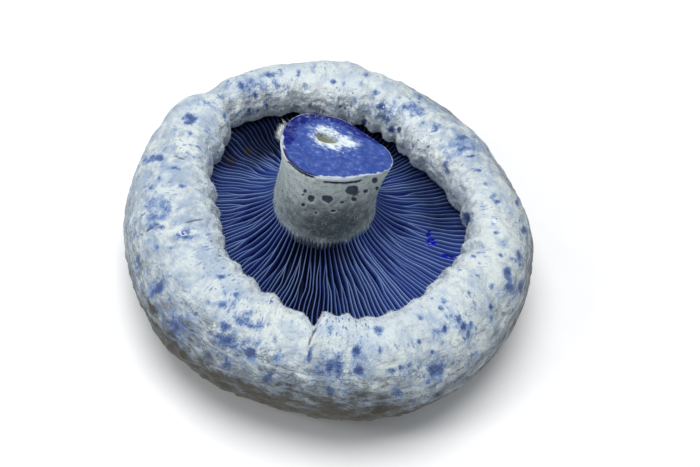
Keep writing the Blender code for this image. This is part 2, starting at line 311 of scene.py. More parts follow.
def marks(grid, facing, listed, spread=1.9, uneven=0.0):
    """Strongest of several blots at each point: full in its middle, half at its rim
    and gone at spread times its size. A blot stays on the patch of surface that
    shows at its pixel. Its outline is as uneven as asked."""
    x, y, depth = pixels(grid)
    stretch = 1 + uneven * clouds(grid, 2.4, 23)
    total = np.zeros(grid.shape[:2])
    seen = facing > 0.08
    for px, py, width, height, strength in listed:
        off = np.hypot(x - px, y - py) + 0.4 * (depth - depth.min())
        at = np.unravel_index(np.argmin(np.where(seen, off, 1e9)), off.shape)
        near = np.linalg.norm(grid - grid[at], axis=-1) < 0.35 * max(width, height) + 1.0
        reach = np.hypot((x - px) / (0.5 * width + 0.4), (y - py) / (0.5 * height + 0.4))
        blot = ease(reach * stretch, spread, 0.1) * strength
        total = np.maximum(total, np.where(near & (facing > -0.1), blot, 0))
    return total


def beads_at(grid, facing, listed, dx=0, dy=0, across=1.0, down=0.8):
    """Marks at pixels moved by dx and dy, of the listed widths times across and down."""
    oval = [(x + dx, y + dy, across * width, down * width, 1.0) for x, y, width in listed]
    return marks(grid, facing, oval, 1.2)


def blots(x, y, listed):
    """Strongest of several soft spots at each pixel, at any depth."""
    spots = [np.hypot((x - px) / across, (y - py) / down) for px, py, across, down in listed]
    return ease(np.minimum.reduce(spots), 0.9, 0.1)


def lines(grid, facing, listed, width):
    """Dark thin line between each two pixels, thinning out towards its ends."""
    x, y, _ = pixels(grid)
    total = np.zeros(grid.shape[:2])
    for (ax, ay), (bx, by) in listed:
        length = np.hypot(bx - ax, by - ay)
        t = ((x - ax) * (bx - ax) + (y - ay) * (by - ay)) / length**2
        aside = np.hypot(x - ax - t * (bx - ax), y - ay - t * (by - ay))
        thin = width * np.sqrt(np.clip(4 * t * (1 - t), 0, 1)) + 0.01
        total = np.maximum(total, ease(aside, thin, 0.3 * thin) * (facing > 0))
    return total


def ring_faces(rows, columns, closed_rows=False):
    """Corner numbers of a grid's quads, its columns running round a ring."""
    i = np.arange(rows if closed_rows else rows - 1)[:, None]
    j = np.arange(columns)[None, :]
    a, b = i * columns, (i + 1) % rows * columns
    k = (j + 1) % columns
    return np.stack([a + j, a + k, b + k, b + j], -1).reshape(-1, 4)


def make_mesh(name, points, quads, triangles, material, attributes=None):
    """One object in metres from points in millimetres, with its values per point.
    Nothing of it reaches past the solids' box."""
    mesh = bpy.data.meshes.new(name)
    points = np.clip((np.asarray(points) + GROWTH_POINT) * MM, cad_low, cad_high)
    mesh.vertices.add(len(points))
    mesh.vertices.foreach_set("co", points.astype(np.float32).ravel())
    corners = np.concatenate([np.ravel(quads), np.ravel(triangles)]).astype(np.int32)
    starts = np.arange(len(quads)) * 4
    more = len(quads) * 4 + np.arange(len(triangles)) * 3
    mesh.loops.add(len(corners))
    mesh.loops.foreach_set("vertex_index", corners)
    mesh.polygons.add(len(quads) + len(triangles))
    mesh.polygons.foreach_set("loop_start", np.concatenate([starts, more]).astype(np.int32))
    mesh.update(calc_edges=True)
    mesh.validate()
    mesh.shade_smooth()
    for key, values in (attributes or {}).items():
        values = np.asarray(values, np.float32)
        kind, field = ("FLOAT", "value") if values.ndim == 1 else ("FLOAT_VECTOR", "vector")
        mesh.attributes.new(key, kind, "POINT").data.foreach_set(field, values.ravel())
    mesh.materials.append(material)
    thing = bpy.data.objects.new(name, mesh)
    bpy.context.scene.collection.objects.link(thing)
    return thing


def ring_body(name, grid, low, high, material, attributes):
    """Closed body from a grid of rings and a pole at each end."""
    rows, columns = grid.shape[:2]
    count = rows * columns
    j = np.arange(columns)
    k = (j + 1) % columns
    last = (rows - 1) * columns
    under = np.stack([count + 0 * j, k, j], -1)
    over = np.stack([count + 1 + 0 * j, last + j, last + k], -1)
    points = np.concatenate([grid.reshape(-1, 3), [low], [high]])
    values = {}
    for key, field in attributes.items():
        flat = field.reshape(count, *field.shape[2:])
        values[key] = np.concatenate([flat, flat[:1], flat[-1:]])
    return make_mesh(name, points, ring_faces(rows, columns), np.concatenate([under, over]), material, values)


def node(tree, kind, inputs=None, **settings):
    """New shader node with its settings, and its sockets set or linked."""
    made = tree.nodes.new(kind)
    for key, value in settings.items():
        setattr(made, key, value)
    for key, value in (inputs or {}).items():
        if isinstance(value, bpy.types.NodeSocket):
            tree.links.new(value, made.inputs[key])
        else:
            made.inputs[key].default_value = value
    return made


def new_finish(name, roughness, **extra):
    """Material with its tree, its shader ready for links, and the place in the scene."""
    material = bpy.data.materials.new(name)
    material.use_nodes = True
    tree = material.node_tree
    shader = tree.nodes["Principled BSDF"]
    shader.inputs["Roughness"].default_value = roughness
    for key, value in extra.items():
        shader.inputs[key.replace("_", " ")].default_value = value
    place = node(tree, "ShaderNodeTexCoord").outputs["Object"]
    return material, tree, shader, place


def join(tree, shader, sockets):
    """Link each value to the shader's socket of that name."""
    for name, value in sockets.items():
        tree.links.new(value, shader.inputs[name])


def field(tree, name):
    """Value that the mesh holds under that name."""
    return node(tree, "ShaderNodeAttribute", attribute_name=name).outputs["Fac"]


def noise(tree, vector, scale, detail=3.0, rough=0.55, distort=0.0):
    inputs = {"Vector": vector, "Scale": scale, "Detail": detail, "Roughness": rough, "Distortion": distort}
    return node(tree, "ShaderNodeTexNoise", inputs).outputs["Fac"]


def remap(tree, value, low, high, to_low=0.0, to_high=1.0):
    inputs = {"Value": value, "From Min": low, "From Max": high, "To Min": to_low, "To Max": to_high}
    return node(tree, "ShaderNodeMapRange", inputs, interpolation_type="SMOOTHSTEP").outputs["Result"]


def maths(tree, operation, a, b=0.0):
    return node(tree, "ShaderNodeMath", {0: a, 1: b}, operation=operation).outputs[0]


def times(tree, a, b):
    return maths(tree, "MULTIPLY", a, b)


def mixture(tree, *parts):
    """Sum of values, each as strong as asked."""
    total = 0.0
    for value, strength in parts:
        total = maths(tree, "ADD", total, times(tree, value, strength))
    return total


def ragged(tree, value, *noises):
    """Value made uneven by noises, each taken about its middle and as strong as asked."""
    centred = [(maths(tree, "SUBTRACT", source, 0.5), strength) for source, strength in noises]
    return mixture(tree, (value, 1.0), *centred)


def blend_colours(tree, amount, a, b):
    a, b = ((*colour, 1) if isinstance(colour, tuple) else colour for colour in (a, b))
    return node(tree, "ShaderNodeMix", {0: amount, 6: a, 7: b}, data_type="RGBA").outputs[2]


def coats(tree, colour, layers):
    """Colours laid over one another in turn. A layer gives its strength, its colour,
    the value that brings it out and, if that needs one, the ramp from none to all."""
    for strength, over, value, *ramp in layers:
        amount = remap(tree, value, *ramp) if ramp else value
        colour = blend_colours(tree, times(tree, amount, strength), colour, over)
    return colour


def scaled(tree, vector, scale):
    return node(tree, "ShaderNodeMapping", {"Vector": vector, "Scale": scale}).outputs["Vector"]


def warped(tree, flow, scale, warp):
    """The flow stretched to that scale and bent by the warp."""
    stretched = scaled(tree, flow, scale)
    return node(tree, "ShaderNodeVectorMath", {0: stretched, 1: warp}, operation="ADD").outputs[0]


def flecks(tree, flow, scale, warp, largest):
    """Flecks drawn out across the margin: one to a cell, some far smaller than others,
    their rims bent by the warp."""
    cells = node(tree, "ShaderNodeTexVoronoi", {"Vector": warped(tree, flow, scale, warp), "Scale": 1.0})
    chance = node(tree, "ShaderNodeSeparateColor", {0: cells.outputs["Color"]}).outputs[0]
    size = remap(tree, chance, 0.25, 1.0, 0.0, largest)
    return remap(tree, maths(tree, "SUBTRACT", size, cells.outputs["Distance"]), -0.02, 0.12)


def bumps(tree, height, strength, distance):
    inputs = {"Strength": strength, "Distance": distance, "Height": height}
    return node(tree, "ShaderNodeBump", inputs).outputs[0]


def skin_finish():
    """Felted cap skin: pale blue-white, clouded with grey blue, flecked and stained
    slate blue, darker towards the ground with painted shade and brown soil lowest
    down, with painted light over the inner side and painted shade in its gaps, on
    the front below the crest, in the low creases and along the cracks, and shiny
    only in its wet pits."""
    material, tree, shader, place = new_finish("cap_skin_felt", 0.62, Sheen_Weight=0.1, Sheen_Roughness=0.5)
    flow = node(tree, "ShaderNodeAttribute", attribute_name="flow").outputs["Vector"]
    warp = node(tree, "ShaderNodeTexNoise", {"Vector": place, "Scale": 700.0, "Detail": 2.0}).outputs["Color"]
    broad = noise(tree, place, 85, 3)
    patchy = noise(tree, place, 210, 4, 0.6)
    middle = noise(tree, place, 560, 4, 0.6)
    granules = noise(tree, place, 1250, 3, 0.6)
    fine = noise(tree, place, 2600, 3, 0.6)
    streaks = noise(tree, scaled(tree, flow, (22, 22, 0.30)), 1.0, 4, 0.6)
    fibres = noise(tree, scaled(tree, flow, (15, 15, 0.8)), 1.0, 5, 0.65, 0.6)
    bands = noise(tree, scaled(tree, flow, (9, 9, 0.75)), 1.0, 5, 0.68, 0.5)
    pale, near_ground, stained, wet = (field(tree, name) for name in ("pale", "soil_and_shade", "stain", "wet"))

    # Grey-blue clouding at the left and back right, and painted shade on the front below the crest.
    clouding_and_shade = times(tree, field(tree, "clouding_and_shade"), remap(tree, ragged(tree, middle, (patchy, 0.8)), 0.34, 0.62))
    # Painted shade in the gaps between the inner side's cottony pillars and lumps, and along the fold.
    painted_gap_shade = ragged(tree, field(tree, "painted_gap_shade"), (middle, 0.8), (granules, 1.6))
    pricks = times(tree, remap(tree, granules, 0.60, 0.72), pale)
    crowded = remap(tree, noise(tree, place, 130, 2), 0.42, 0.64, 0.12, 1.0)
    stain = ragged(tree, stained, (middle, 1.5), (fine, 0.9), (streaks, 1.3))
    stain = times(tree, stain, remap(tree, stained, 0.0, 0.15))
    # Darker towards the ground: painted shade on the low outer side, with brown soil lowest down.
    soil_and_shade = ragged(tree, near_ground, (fibres, 0.7), (bands, 1.5), (patchy, 0.3))
    black = ragged(tree, soil_and_shade, (middle, 1.2), (patchy, 0.5))
    # Thin dark creases low on the outer side: painted shade in the creases.
    ridge = noise(tree, warped(tree, flow, (3.6, 3.6, 0.5), warp), 1.0, 2, 0.5)
    off_ridge = maths(tree, "ABSOLUTE", maths(tree, "SUBTRACT", ridge, 0.5))
    fold = remap(tree, off_ridge, 0.003, 0.030, 1.0, 0.0)
    fold = times(tree, fold, remap(tree, near_ground, 0.02, 0.45))
    colour = coats(tree, (0.620, 0.678, 0.655), [
        (1.0, (0.550, 0.625, 0.650), broad, 0.35, 0.65),
        (0.48, (0.260, 0.360, 0.520), patchy, 0.46, 0.66),
        # Grey-blue clouding, and painted shade on the front.
        (0.60, (0.270, 0.345, 0.445), clouding_and_shade),
        (0.44, (0.25, 0.34, 0.52), streaks, 0.48, 0.68),
        (0.35, (0.24, 0.33, 0.51), middle, 0.52, 0.70),
        # Painted light over the inner side of the margin, strongest at the back.
        (0.64, (0.84, 0.89, 0.885), pale),
        # Painted shade in the inner side's gaps.
        (0.50, (0.25, 0.31, 0.41), painted_gap_shade, 0.25, 0.85),
        (0.60, (0.150, 0.205, 0.340), pricks),
        # Painted shade towards the ground, first grey blue.
        (0.72, (0.165, 0.205, 0.250), soil_and_shade, 0.08, 0.60),
        (times(tree, crowded, 0.60), (0.145, 0.225, 0.43), flecks(tree, flow, (88, 88, 1.5), warp, 0.46)),
        (times(tree, crowded, 0.80), (0.105, 0.175, 0.40), flecks(tree, flow, (50, 50, 0.80), warp, 0.42)),
        (times(tree, crowded, 0.90), (0.080, 0.140, 0.38), flecks(tree, flow, (25, 25, 0.40), warp, 0.33)),
        (0.62, (0.20, 0.305, 0.50), stain, 0.0, 0.46),
        (0.88, (0.072, 0.142, 0.350), stain, 0.26, 0.68),
        (0.88, (0.022, 0.048, 0.165), stain, 0.55, 1.0),
        # More painted shade towards the ground, near black, then brown soil lowest down.
        (0.84, (0.078, 0.090, 0.098), soil_and_shade, 0.36, 0.90),
        (0.88, (0.036, 0.041, 0.046), black, 0.66, 1.02),
        (0.92, (0.040, 0.034, 0.015), soil_and_shade, 0.64, 1.10),
        # Painted shade in the low creases.
        (0.55, (0.055, 0.062, 0.062), fold),
        # Painted shade along the cracks.
        (0.95, (0.035, 0.045, 0.09), field(tree, "crack")),
    ])

    matted = times(tree, remap(tree, near_ground, 0.1, 0.6), 1.6)
    cotton = times(tree, pale, 0.9)
    height = mixture(
        tree, (fine, 0.7), (middle, 1.3), (streaks, 1.0), (granules, cotton), (fibres, matted), (fold, -0.8)
    )
    inputs = {
        0: remap(tree, wet, 0.2, 0.7, 0.0, 0.85),
        4: bumps(tree, height, 0.6, 0.0006),
        5: node(tree, "ShaderNodeNewGeometry").outputs["Normal"],
    }
    join(tree, shader, {
        "Base Color": colour,
        "Roughness": remap(tree, wet, 0.2, 0.7, 0.62, 0.10),
        "Specular IOR Level": remap(tree, wet, 0.3, 0.8, 0.5, 1.0),
        "Normal": node(tree, "ShaderNodeMix", inputs, data_type="VECTOR").outputs[1],
    })
    return material


def gill_finish():
    """Gill flesh: near black in the valleys, painted shade between the blades,
    indigo on the sides, a pale bloom along the edges, tan where bruised, and
    ultramarine where fresh latex wells out; more painted shade darkens them under
    the back of the roll and in front of the stem."""
    material, tree, shader, place = new_finish("gill_flesh", 0.48, Specular_IOR_Level=0.18)
    middle = noise(tree, place, 420, 3)
    fine = noise(tree, place, 2400, 2)
    edge, wound = field(tree, "edge"), field(tree, "latex")
    bloom = times(tree, remap(tree, edge, 0.80, 0.98), remap(tree, middle, 0.25, 0.65, 0.5, 1.0))
    # Painted shade under the back of the roll and in front of the stem.
    painted_gill_shade = ragged(tree, field(tree, "painted_gill_shade"), (middle, 0.5))
    bruise = ragged(tree, field(tree, "tan"), (middle, 1.6))
    latex = remap(tree, ragged(tree, wound, (middle, 2.4), (fine, 1.0)), 0.45, 0.65)
    latex = times(tree, latex, remap(tree, wound, 0.05, 0.25))
    # The near-black base is painted shade in the valleys between the blades.
    colour = coats(tree, (0.005, 0.009, 0.055), [
        (1.0, (0.029, 0.056, 0.285), edge, 0.05, 0.75),
        (1.0, (0.086, 0.145, 0.390), edge, 0.55, 0.94),
        (1.0, (0.190, 0.285, 0.490), bloom),
        # Painted shade under the roll and by the stem.
        (0.92, (0.002, 0.005, 0.026), painted_gill_shade, 0.1, 0.9),
        (0.55, (0.070, 0.052, 0.034), bruise, 0.3, 0.9),
        (1.0, (0.014, 0.028, 0.50), latex),
    ])
    join(tree, shader, {
        "Base Color": colour,
        "Roughness": remap(tree, latex, 0.2, 0.8, 0.48, 0.12),
        "Specular IOR Level": remap(tree, latex, 0.2, 0.8, 0.18, 0.60),
        "Normal": bumps(tree, fine, 0.3, 0.0001),
    })
    return material


def stem_finish():
    """Downy grey-green stem skin with slate pits ringed pale, painted shade over
    its front and lower part and in the slits under the lip, and the cut face: wet
    deep blue flesh, mottled white round the cream pith, with a thin pale rind."""
    material, tree, shader, place = new_finish("stem_down", 0.75, Specular_IOR_Level=0.35)
    broad = noise(tree, place, 160, 3)
    middle = noise(tree, place, 700, 4, 0.6)
    grain = noise(tree, place, 1500, 4, 0.7)
    fine = noise(tree, place, 2500, 3, 0.65)
    felt = mixture(tree, (fine, 0.7), (middle, 0.3))
    # Painted shade over the front and lower stem.
    painted_stem_shade = ragged(tree, field(tree, "painted_stem_shade"), (middle, 1.0))
    pit = ragged(tree, field(tree, "pit"), (fine, 0.3), (middle, 0.4))
    ringed = times(tree, remap(tree, pit, 0.05, 0.25), remap(tree, pit, 0.22, 0.42, 1.0, 0.0))
    lip = ragged(tree, field(tree, "lip"), (middle, 2.0), (fine, 1.5))
    # Slits under the lip, near black with painted shade.
    slit = ragged(tree, field(tree, "slit"), (middle, 0.9))
    down = coats(tree, (0.650, 0.720, 0.695), [
        (1.0, (0.520, 0.600, 0.600), broad, 0.35, 0.65),
        # Painted shade over the front and lower stem.
        (0.94, (0.062, 0.083, 0.092), painted_stem_shade, -0.1, 0.95),
        (0.60, (0.085, 0.108, 0.112), felt, 0.50, 0.62),
        (0.40, (0.46, 0.53, 0.53), felt, 0.48, 0.38),
        (0.75, (0.52, 0.57, 0.57), ringed),
        (0.95, (0.030, 0.037, 0.074), pit, 0.30, 0.58),
        (0.30, (0.09, 0.11, 0.16), pit, 0.70, 1.1),
        (0.90, (0.60, 0.66, 0.68), lip, 0.35, 0.8),
        # Painted shade in the slits.
        (1.0, (0.012, 0.014, 0.060), slit, 0.26, 0.60),
    ])

    wet, bead = field(tree, "wet"), field(tree, "bead")
    deep = remap(tree, ragged(tree, wet, (middle, 2.0), (broad, 2.4)), 0.25, 0.65)
    deep = times(tree, deep, remap(tree, wet, 0.0, 0.15))
    halo = ragged(tree, field(tree, "halo"), (grain, 2.4), (middle, 1.8))
    rind = ragged(tree, field(tree, "rind"), (middle, 2.0), (fine, 1.5))
    flesh = coats(tree, (0.020, 0.052, 0.270), [
        (1.0, (0.038, 0.086, 0.340), middle, 0.36, 0.62),
        (0.40, (0.012, 0.034, 0.21), grain, 0.5, 0.66),
        (1.0, (0.002, 0.009, 0.165), deep),
        (0.50, (0.24, 0.35, 0.64), halo, 0.05, 0.70),
        (1.0, (0.69, 0.77, 0.76), halo, 0.50, 1.12),
        (1.0, (0.50, 0.50, 0.40), field(tree, "pith"), 0.3, 0.9),
        (1.0, (0.46, 0.53, 0.60), rind, 0.45, 0.85),
        (1.0, (0.010, 0.008, 0.075), field(tree, "edge_latex")),
    ])
    rough = remap(tree, deep, 0.1, 0.7, 0.68, 0.30)
    shine = remap(tree, deep, 0.1, 0.7, 0.35, 0.14)
    join(tree, shader, {
        "Base Color": blend_colours(tree, field(tree, "cut"), down, flesh),
        "Roughness": remap(tree, bead, 0.05, 0.4, rough, 0.07),
        "Specular IOR Level": remap(tree, bead, 0.05, 0.4, shine, 1.0),
        "Normal": bumps(tree, mixture(tree, (fine, 0.7), (middle, 1.0)), 0.5, 0.00035),
    })
    return material


def down_finish(name, colour):
    """Fine pale fibres: rough, a little see-through to light, mottled along them."""
    material, tree, shader, place = new_finish(name, 0.8, Subsurface_Weight=0.2, Subsurface_Scale=0.0005)
    darker = tuple(0.7 * c for c in colour)
    mottled = coats(tree, colour, [(1.0, darker, noise(tree, place, 1200), 0.4, 0.7)])
    join(tree, shader, {"Base Color": mottled})
    return material


def edge_radius(theta):
    """Free edge of the margin: broad outline, small uneven lobes and the cleft."""
    beat = LOBE_COUNT * theta + 1.3 * np.sin(5 * theta) + 0.9 * np.sin(3 * theta + 1)
    lobes = 0.8 * LOBE_DEPTH * np.sin(beat) * (1 + 0.4 * np.sin(4 * theta + 2))
    cleft = 0.8 * CLEFT_DEPTH * hump(theta, CLEFT_ANGLE, CLEFT_WIDTH)
    fold = 0.6 * FOLD_DEPTH * hump(theta, FOLD_ANGLE, FOLD_WIDTH)
    shifts = sum(mm * bell(theta, at, wide) for at, wide, mm in EDGE_SHIFTS)
    return around(EDGE_RADIUS, theta) + lobes + cleft + fold + shifts


def cap_radius(theta):
    """Widest outline of the cap, pinched where the margin folds over itself."""
    fold = 0.5 * FOLD_DEPTH * hump(theta, FOLD_ANGLE, FOLD_WIDTH)
    return around(CAP_RADIUS, theta) - fold


def fold_lean(turn):
    """How far round the fold leans at each turn of the section: most over the crest."""
    rising = ease(turn, np.radians(30), np.radians(85))
    return FOLD_LEAN * rising * ease(turn, np.radians(195), np.radians(150))


def margin_dents(theta, turn):
    """How far the roll stands in or out along its own radius: soft unevenness, the
    deep fold, the bulge beside it and the crack above the cleft."""
    on_top = np.sin(np.clip(turn, 0, np.pi))
    lean = fold_lean(turn)
    uneven = 0.35 * np.sin(7 * theta + 2.0 * turn) + 0.25 * np.sin(13 * theta - 3.0 * turn + 1)
    fold = FOLD_DEPTH * hump(theta + lean, FOLD_ANGLE, FOLD_WIDTH)
    bulge = BULGE_HEIGHT * hump(theta + lean, BULGE_ANGLE, BULGE_WIDTH)
    near_edge = np.clip((turn - CLEFT_START) / (CLEFT_END - CLEFT_START), 0, 1)
    crack = 0.7 * CLEFT_DEPTH * hump(theta, CLEFT_ANGLE, CLEFT_WIDTH) * near_edge
    return on_top * (uneven - fold + bulge) - crack


def cap_grid():
    """Radius, height and turn of the section at each angle: the dimple and the flat
    under the cap, the lower wall as a quarter ellipse, the roll as an ellipse turned
    past its free edge, then under the edge and in along the bed."""
    theta = angles(CAP_COLUMNS)[None, :]
    outer = cap_radius(theta)
    edge = edge_radius(theta)
    still = 0 * theta
    r = np.array([0.5, 2, 4, 6, 8, 10, 12, 14])[:, None]
    z = DIMPLE_Z * np.clip(1 - (r / FLAT_INNER_RADIUS) ** 2, 0, 1) ** 1.5
    under = (r + still, z + still, -np.pi / 2 - (16 - r) / 16 + still)
    t = np.radians(np.linspace(0, 90, 31))[:-1, None]
    lower_r = FLAT_OUTER_RADIUS + (outer - FLAT_OUTER_RADIUS) * np.sin(t)
    lower = (lower_r, WIDEST_Z * (1 - np.cos(t)) + still, t - np.pi / 2 + still)
    turn = np.linspace(0, ROLL_TURN, 80)[:, None]
    dent = margin_dents(theta, turn)
    lift = (EDGE_Z - WIDEST_Z) * (1 - np.cos(np.minimum(turn, np.pi))) / 2
    rise = CREST_Z - (WIDEST_Z + EDGE_Z) / 2
    roll_r = (outer + edge) / 2 + ((outer - edge) / 2 + dent) * np.cos(turn)
    roll = (roll_r, WIDEST_Z + lift + (rise + dent) * np.sin(turn), turn + still)
    wall = outer - ROLL_WALL
    inner_r = [edge + 2.6, wall - 2.0, wall + still, wall - 0.9, wall - 3.4, 0.5 * (wall - 3.4)]
    inner_z = [EDGE_Z - 3.1, EDGE_Z - 3.2, EDGE_Z - 5.5, BED_Z + 1.2, BED_Z, BED_Z]
    last_turn = ROLL_TURN + 0.3 * np.arange(1, 7)[:, None]
    inner = (np.concatenate(inner_r), np.array(inner_z)[:, None] + still, last_turn + still)
    r, z, turn = (np.concatenate(parts) for parts in zip(under, lower, roll, inner))
    grid = np.stack([r * np.cos(theta), r * np.sin(theta), z], -1)
    return grid, theta + 0 * r, turn


def flow_of(grid, theta):
    """Point on a circle and length along the section in millimetres, so that a
    texture can run along or across the margin with no seam."""
    step = np.linalg.norm(np.diff(grid, axis=0), axis=-1)
    length = np.concatenate([np.zeros((1, grid.shape[1])), np.cumsum(step, axis=0)])
    length = length.mean(axis=1, keepdims=True) + 0 * length
    return np.stack([np.cos(theta), np.sin(theta), length], -1)


def make_cap():
    """Cap: the section carried round, then moved along its normals: cottony pillars
    and lumps down the inner side, creases over the top, wrinkles and low folds on the
    outer side, soft unevenness, beads of latex, and pits sunk where the stains are."""
    grid, theta, turn = cap_grid()
    n = normals(grid)
    facing = n @ camera_axes()[2]
    flow = flow_of(grid, theta)
    free = ease(turn, -1.4, -0.9) * ease(turn, ROLL_TURN + 0.9, ROLL_TURN + 0.2)
    inner_side = ease(turn, np.radians(95), np.radians(165)) * free
    outer_side = ease(turn, np.radians(60), np.radians(0)) * free
    pillars = 1 - np.abs(clouds(flow * (26 / 1.0, 26 / 1.0, 1 / 3.2), 1.0, 3, 2)) * 2.2
    creases = 1 - ease(np.abs(clouds(flow * (33 / 7.0, 33 / 7.0, 1 / 26.0), 1.0, 29, 2)), 0.0, 0.10)
    creases = creases * ease(turn, 0.2, 1.2) * clouds(grid, 6.0, 37) ** 2
    cotton = clouds(grid, 1.5, 11)
    wrinkles = clouds(flow * (38 / 3.5, 38 / 3.5, 1 / 1.6), 1.0, 17) * (0.5 + 0.5 * cloud(grid, 5.0, 19))
    stain = np.maximum(marks(grid, facing, STAINS, 1.65, 0.5), marks(grid, facing, WASHES, 1.7, 0.6))
    wet = beads_at(grid, facing, WET_PITS)
    beads = beads_at(grid, facing, WET_PITS, 1, -1, 0.45, 0.4)
    # Cracks: sunk a little, with painted shade along them.
    crack = np.maximum(lines(grid, facing, CRACKS, 1.0), lines(grid, facing, CLEFT_CRACK, 1.6))
    rise = 0.26 * clouds(grid, 8.0, 5) + 0.16 * cotton - 0.2 * ease(np.abs(turn), 0.9, 0.0)
    lumps = clouds(grid, 0.9, 13, 2)
    rise = rise + inner_side * (0.11 * pillars - 0.05 + 0.17 * lumps)
    low_front = window(theta, 205, 330, 40) * ease(grid[..., 2], 21.0, 16.0)
    folds = 1 - np.abs(clouds(flow * (11, 11, 1 / 2.2), 1.0, 43, 2)) * 2.4
    rise = rise + outer_side * (0.20 * wrinkles + 0.26 * low_front * folds) - 0.3 * creases
    rise = rise - 0.18 * ease(stain, 0.4, 0.9) - 0.15 * wet + 0.42 * beads - 0.30 * crack
    grid = grid + n * (rise * free)[..., None]
    grid[..., 2] = np.maximum(grid[..., 2], 0)
    # Darker towards the ground: painted shade on the low outer side, turning to brown soil lowest down; less
    # of it at the left and right.
    soil_and_shade = np.clip((25.5 - grid[..., 2]) / 12.5, 0, 1.1) * ease(turn, np.radians(110), np.radians(60))
    soil_and_shade = soil_and_shade * (1 - 0.36 * window(theta, 298, 345, 30) - 0.66 * window(theta, 100, 214, 76))
    # Painted shade in the gaps between the inner side's pillars and lumps, and along the fold.
    painted_gap_shade = inner_side * ease(0.5 * pillars + 0.5 * cotton + 0.9 * lumps, 0.1, -0.9)
    in_fold = hump(theta + fold_lean(turn), FOLD_ANGLE, np.radians(1.3)) * ease(turn, 0.5, 1.1)
    painted_gap_shade = painted_gap_shade + 0.9 * in_fold * free
    # Painted light over the inner side of the margin, strongest at the back; the same mask brings out the
    # dark pricks and the cottony bump.
    pale = inner_side * (0.3 + 0.7 * window(theta, 30, 150, 40))
    # Grey-blue clouding at the left and back right, and painted shade on the front below the crest.
    clouding_and_shade = window(theta, 145, 232, 50) + 1.4 * window(theta, 22, 72, 40)
    clouding_and_shade = np.maximum(clouding_and_shade, window(theta, 235, 310, 50) * ease(grid[..., 2], 24.5, 20.5))
    fields = {"flow": flow, "stain": stain, "wet": wet, "crack": crack, "soil_and_shade": soil_and_shade}
    fields |= {"painted_gap_shade": painted_gap_shade, "pale": pale, "clouding_and_shade": clouding_and_shade}
    cap = ring_body("cap_skin", grid, (0, 0, DIMPLE_Z), (0, 0, BED_Z), skin_finish(), fields)
    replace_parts(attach(cap, "root"), "cap")
    return (grid, n), inner_side


def stem_foot_radius(theta):
    return STEM_FOOT_RADIUS * around(STEM_OUTLINE, theta)


def gill_edge_z(r):
    """Height of the gills' free edges: they run up the stem and up under the roll."""
    up_stem = 4.4 * np.exp(-((r - STEM_FOOT_RADIUS) / 3.0))
    up_roll = 3.5 * np.clip((r - 22) / 10, 0, 2) ** 2
    return GILL_LOW_Z + up_stem + np.minimum(up_roll, EDGE_Z - 3.7 - GILL_LOW_Z)


